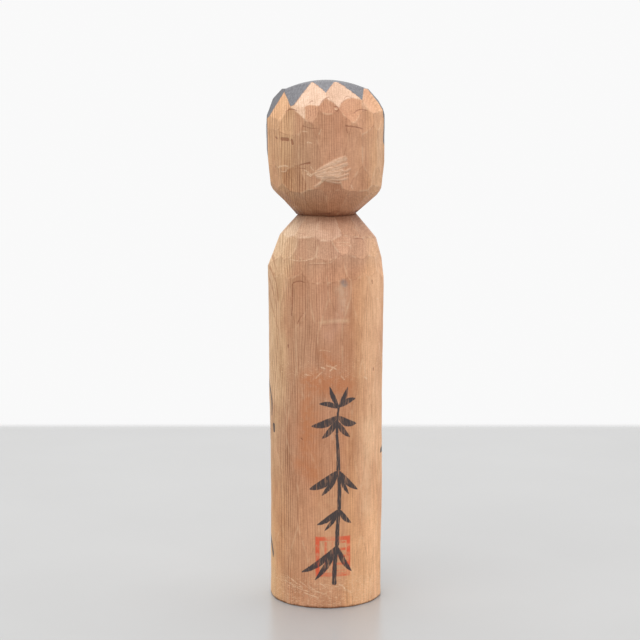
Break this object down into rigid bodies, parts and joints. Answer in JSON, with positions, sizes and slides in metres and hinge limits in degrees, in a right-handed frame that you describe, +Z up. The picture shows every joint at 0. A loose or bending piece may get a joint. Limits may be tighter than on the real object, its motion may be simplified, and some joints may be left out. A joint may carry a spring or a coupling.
{
  "type": "kokeshi doll",
  "caption": "Knife-carved wooden kokeshi doll: a long straight body with sloping shoulders and a faceted head that turns on a round peg at the neck.",
  "frame": {"origin": "middle of the foot, on the surface the doll stands on", "axes": "+Z up along the doll; the painted face and front look along +Y; the plain back with the brushed mark faces -Y"},
  "size_m": [0.067, 0.0668, 0.3],
  "materials": {
    "body_wood": "bare knife-cut softwood with brush ink on it",
    "head_wood": "bare knife-cut softwood with matt black hair paint on the crown and sides",
    "peg_wood": "plain turned hardwood, unfinished"
  },
  "bodies": {
    "trunk": {"body": "body_wood"},
    "head": {"head": "head_wood", "neck_dowel": "peg_wood"}
  },
  "joints": [
    {"name": "head_turn", "type": "hinge", "parent": "trunk", "child": "head", "pos_m": [0, 0, 0.2237], "axis": [0, 0, 1], "continuous": true}
  ]
}
